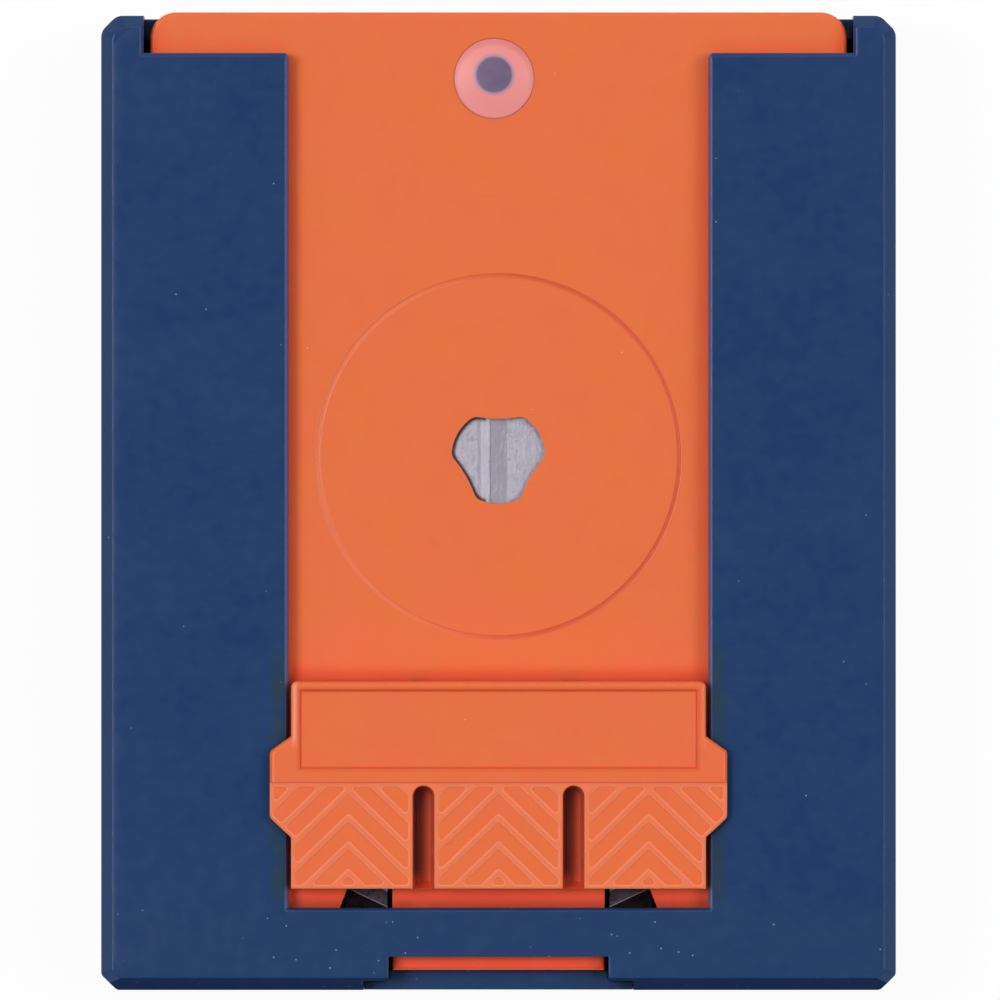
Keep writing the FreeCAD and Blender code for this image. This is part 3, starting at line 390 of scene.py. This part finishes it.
def pot_steel():
    """Dull drawn steel: drawing marks along Y, a darker band along a groove with a lighter band beside it,
    scratches, and a dark outline where the left of the hole in front shades it."""
    look = Recipe("pot_steel_look")
    wander = look.noise(1.2 * MM, 3.0, 0.6)
    x = look.math("ADD", look.axis("X"), look.both(look.math("SUBTRACT", wander, 0.5), 0.35 * MM))
    streaks = look.noise(0.35 * MM, 3.0, 0.6, (1.0, 0.08, 1.0))
    cloud = look.noise(0.9 * MM, 4.0, 0.65)
    blots = look.between(look.noise(0.6 * MM, 3.0, 0.5), 0.56, 0.66)
    base = look.mix(look.between(cloud, 0.3, 0.7), colour("9894A1"), colour("A9A5B2"))
    base = look.mix(look.both(blots, 0.5), base, colour("827F8E"))
    base = look.mix(look.band(x, -1.40 * MM, -0.76 * MM, 0.08 * MM), base, colour("ABA6B3"))
    base = look.mix(look.band(x, -0.70 * MM, 0.60 * MM, 0.10 * MM), base, colour("8B8796"))
    base = look.mix(look.band(x, -1.66 * MM, -1.46 * MM, 0.12 * MM), base, colour("918D9B"))
    base = look.mix(look.both(look.between(streaks, 0.55, 0.75), 0.5), base, colour("8D8997"))
    rim = look.between(look.openness(0.5 * MM), 0.62, 0.9, 0.95, 0.0)
    beside_groove = look.math("SUBTRACT", 1.0, look.band(look.axis("X"), -1.0 * MM, 0.9 * MM, 0.1 * MM))
    rim = look.both(rim, beside_groove, look.between(look.axis("X"), -1.5 * MM, 2.5 * MM, 1.0, 0.15))
    base = look.mix(rim, base, colour("2A0A0E"))
    nicks = look.noise(0.45 * MM, 5.0, 0.7, (1.0, 0.7, 1.0))
    height = look.math("ADD", look.both(streaks, 0.4), nicks)
    look.set(Base_Color=base, Metallic=0.3, Roughness=look.between(cloud, 0.3, 0.7, 0.34, 0.5))
    look.set(Normal=look.bump(height, 0.06 * MM))
    return look.material


def metal(name, bright, dark, roughness):
    look = Recipe(name)
    cloud = look.noise(0.8 * MM, 4.0, 0.6)
    look.set(Base_Color=look.mix(look.between(cloud, 0.3, 0.7), bright, dark), Metallic=1.0)
    look.set(Roughness=look.between(cloud, 0.3, 0.7, roughness - 0.06, roughness + 0.06))
    look.set(Normal=look.bump(cloud, 0.004 * MM, look.rounded(0.06 * MM)))
    return look.material


def blued_steel():
    """Nearly black steel: painted light on a facet beyond a fold that runs aslant, a painted highlight
    along the fold and a painted glint in its inner corner.
    """
    look = Recipe("spring_steel_look")
    across = look.math("ABSOLUTE", look.axis("X"))
    past_fold = look.past_slant(across, 36.44 * MM, 0.46)
    past_corner = look.past_slant(across, 34.70 * MM, 0.40)
    cloud = look.noise(0.7 * MM, 3.0)
    base = look.mix(look.between(cloud, 0.35, 0.65), colour("131318"), colour("1E1E25"))
    # Painted light on the facet beyond the fold.
    facet = look.mix(look.between(cloud, 0.35, 0.65), colour("4A4A58"), colour("66646F"))
    base = look.mix(look.between(past_fold, 0.0, 0.04 * MM), base, facet)
    # A painted highlight along the fold.
    base = look.mix(look.band(past_fold, -0.03 * MM, 0.03 * MM, 0.03 * MM), base, colour("B4B2BA"))
    # A painted glint in the inner corner.
    inner = look.both(look.between(past_corner, 0.0, 0.03 * MM), look.math("LESS_THAN", across, 9.4 * MM))
    base = look.mix(inner, base, colour("FBF8FF"))
    look.set(Base_Color=base, Metallic=0.2, Roughness=look.between(cloud, 0.3, 0.7, 0.25, 0.38))
    look.set(Normal=look.bump(cloud, 0.02 * MM))
    return look.material


def dull(name, first, second, roughness):
    look = Recipe(name)
    cloud = look.noise(0.6 * MM, 3.0)
    look.set(Base_Color=look.mix(cloud, first, second))
    look.set(Roughness=look.between(cloud, 0.3, 0.7, roughness - 0.05, roughness + 0.05))
    look.set(Normal=look.bump(cloud, 0.005 * MM, look.rounded(0.06 * MM)))
    return look.material


def looks():
    """The material of each slot."""
    return {
        "navy_plastic": navy_plastic(),
        "orange_plastic": orange_plastic(),
        "grip_plastic": grip_plastic(),
        "lens_plastic": lens_plastic(),
        "led_plastic": dull("led_plastic_look", colour("4A4458"), colour("585268"), 0.3),
        "black_plastic": dull("black_plastic_look", colour("17181A"), colour("1E1F22"), 0.5),
        "board_laminate": dull("board_laminate_look", colour("1F5A3A"), colour("246342"), 0.4),
        "chip_plastic": dull("chip_plastic_look", colour("1B1B1D"), colour("252528"), 0.5),
        "ceramic": dull("ceramic_look", colour("8A7B66"), colour("9C8C75"), 0.5),
        "steel_screw": metal("steel_screw_look", colour("B9B9BC"), colour("9A9A9E"), 0.32),
        "spring_steel": blued_steel(),
        "pot_steel": pot_steel(),
        "ferrite": dull("ferrite_look", colour("2A2A2D"), colour("37373B"), 0.6),
        "contact_brass": metal("contact_brass_look", colour("D2A95A"), colour("B88F45"), 0.3),
        "tinned_wire": metal("tinned_wire_look", colour("C9CBD0"), colour("AEB0B6"), 0.3),
        "cell_steel": metal("cell_steel_look", colour("C4C6CA"), colour("A8AAB0"), 0.25),
    }


def dress(made):
    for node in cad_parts.values():
        for place in node.material_slots:
            place.material = made[place.material.name]


# Stage


def table_material():
    """White where the camera, a reflection or a clear piece sees it, with part of the object's shadow
    kept, and a plain white cloth for all other light."""
    material = bpy.data.materials.new("table_look")
    material.use_nodes = True
    tree = material.node_tree
    tree.nodes.clear()
    cloth = tree.nodes.new("ShaderNodeBsdfDiffuse")
    cloth.inputs["Color"].default_value = (TABLE_WHITE, TABLE_WHITE, TABLE_WHITE, 1.0)
    glow = tree.nodes.new("ShaderNodeEmission")
    path = tree.nodes.new("ShaderNodeLightPath")
    seen = tree.nodes.new("ShaderNodeMath")
    seen.operation = "MAXIMUM"
    tree.links.new(path.outputs["Is Camera Ray"], seen.inputs[0])
    tree.links.new(path.outputs["Is Glossy Ray"], seen.inputs[1])
    also = tree.nodes.new("ShaderNodeMath")
    also.operation = "MAXIMUM"
    tree.links.new(seen.outputs[0], also.inputs[0])
    tree.links.new(path.outputs["Is Transmission Ray"], also.inputs[1])
    share = tree.nodes.new("ShaderNodeMath")
    share.operation = "MULTIPLY"
    tree.links.new(also.outputs[0], share.inputs[0])
    share.inputs[1].default_value = TABLE_GLOW
    blend = tree.nodes.new("ShaderNodeMixShader")
    tree.links.new(share.outputs[0], blend.inputs["Fac"])
    tree.links.new(cloth.outputs[0], blend.inputs[1])
    tree.links.new(glow.outputs[0], blend.inputs[2])
    output = tree.nodes.new("ShaderNodeOutputMaterial")
    tree.links.new(blend.outputs[0], output.inputs["Surface"])
    return material


def table():
    half = TABLE_SIZE / 2
    mesh = bpy.data.meshes.new("table")
    corners = [(-half, -half, 0), (half, -half, 0), (half, half, 0), (-half, half, 0)]
    mesh.from_pydata(corners, [], [(0, 1, 2, 3)])
    made = bpy.data.objects.new("table", mesh)
    bpy.context.scene.collection.objects.link(made)
    made.location.z = -TABLE_GAP
    mesh.materials.append(table_material())


def softbox(name, towards, height, share, angle):
    """A soft lamp: its side as degrees from +Y towards +X, its height above the table in degrees, what
    share of the light on the front face it gives, and how wide it looks from the object in degrees."""
    lamp = bpy.data.lights.new(name, "SUN")
    lamp.angle = math.radians(angle)
    lamp.energy = share * math.pi / math.sin(math.radians(height))
    made = bpy.data.objects.new(name, lamp)
    bpy.context.scene.collection.objects.link(made)
    a, h = math.radians(towards), math.radians(height)
    source = Vector((math.sin(a) * math.cos(h), math.cos(a) * math.cos(h), math.sin(h)))
    made.rotation_mode = "QUATERNION"
    made.rotation_quaternion = source.to_track_quat("Z", "Y")


def lights():
    """Steep soft lamps, the strongest on the left, and the light of the room."""
    softbox("left_softbox", -80.0, 66.0, 0.40, 20.0)
    softbox("right_softbox", 82.0, 60.0, 0.23, 26.0)
    softbox("far_softbox", -6.0, 60.0, 0.11, 30.0)
    softbox("near_softbox", 176.0, 62.0, 0.05, 30.0)
    room()


def room():
    """White light from all round, dimmer straight above and towards the near side."""
    world = bpy.data.worlds.new("room")
    bpy.context.scene.world = world
    world.use_nodes = True
    tree = world.node_tree
    background = tree.nodes["Background"]
    background.inputs["Color"].default_value = (1.0, 1.0, 1.0, 1.0)
    place = tree.nodes.new("ShaderNodeTexCoord")
    way = tree.nodes.new("ShaderNodeSeparateXYZ")
    tree.links.new(place.outputs["Generated"], way.inputs[0])
    above = tree.nodes.new("ShaderNodeMapRange")
    above.inputs["From Min"].default_value = 0.55
    above.inputs["From Max"].default_value = 0.98
    above.inputs["To Min"].default_value = ROOM_SIDES
    above.inputs["To Max"].default_value = ROOM_ABOVE
    tree.links.new(way.outputs["Z"], above.inputs["Value"])
    nearness = tree.nodes.new("ShaderNodeMapRange")
    nearness.inputs["From Min"].default_value = -0.8
    nearness.inputs["From Max"].default_value = 0.3
    nearness.inputs["To Min"].default_value = ROOM_NEAR_SIDE
    nearness.inputs["To Max"].default_value = 1.0
    tree.links.new(way.outputs["Y"], nearness.inputs["Value"])
    strength = tree.nodes.new("ShaderNodeMath")
    strength.operation = "MULTIPLY"
    tree.links.new(above.outputs["Result"], strength.inputs[0])
    tree.links.new(nearness.outputs["Result"], strength.inputs[1])
    tree.links.new(strength.outputs[0], background.inputs["Strength"])


def camera():
    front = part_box("front_frame")[1].z
    data = bpy.data.cameras.new("camera")
    data.sensor_width = SENSOR
    data.lens = SENSOR * CAMERA_HEIGHT / PICTURE_SPAN
    data.clip_start = 0.05
    made = bpy.data.objects.new("camera", data)
    bpy.context.scene.collection.objects.link(made)
    made.location = (*PICTURE_CENTRE, front + CAMERA_HEIGHT)
    bpy.context.scene.camera = made


dress(looks())
table()
lights()
camera()
bpy.context.scene.view_settings.view_transform = "Standard"
